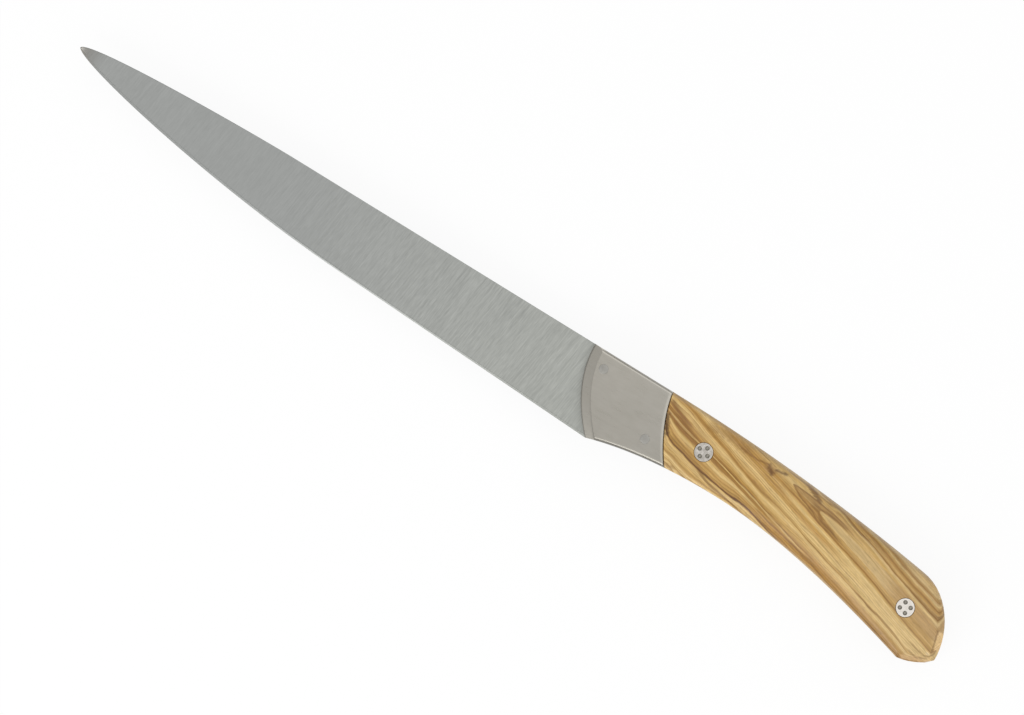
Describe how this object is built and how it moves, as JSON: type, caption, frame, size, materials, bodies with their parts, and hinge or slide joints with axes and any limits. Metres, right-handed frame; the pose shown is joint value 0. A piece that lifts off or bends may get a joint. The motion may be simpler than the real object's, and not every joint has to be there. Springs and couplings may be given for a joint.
{
  "type": "fillet knife",
  "caption": "Slim full-tang kitchen knife with a long pointed blade, flush pinned steel bolsters and olive-wood scales held by drilled-head bolts.",
  "frame": {"origin": "under the middle of the knife's box, on the surface that its right side lies on", "axes": "+X from the point to the butt along the spine, +Y from the cutting edge to the spine, +Z from the right side to the left side"},
  "size_m": [0.3296, 0.0342, 0.017],
  "materials": {
    "blade_steel": "fine satin, ground from spine to edge",
    "bolster_steel": "smooth satin with softened edges",
    "pin_steel": "ground flush with the bolster",
    "bolt_steel": "polished flush with the wood",
    "olive_wood": "oiled, smooth, with strong dark figure"
  },
  "bodies": {
    "root": {"blade": "blade_steel", "left_bolster": "bolster_steel", "right_bolster": "bolster_steel", "front_bolster_pin": "pin_steel", "rear_bolster_pin": "pin_steel", "left_scale": "olive_wood", "right_scale": "olive_wood", "front_bolt_screw": "bolt_steel", "front_bolt_nut": "bolt_steel", "rear_bolt_screw": "bolt_steel", "rear_bolt_nut": "bolt_steel"}
  },
  "joints": []
}
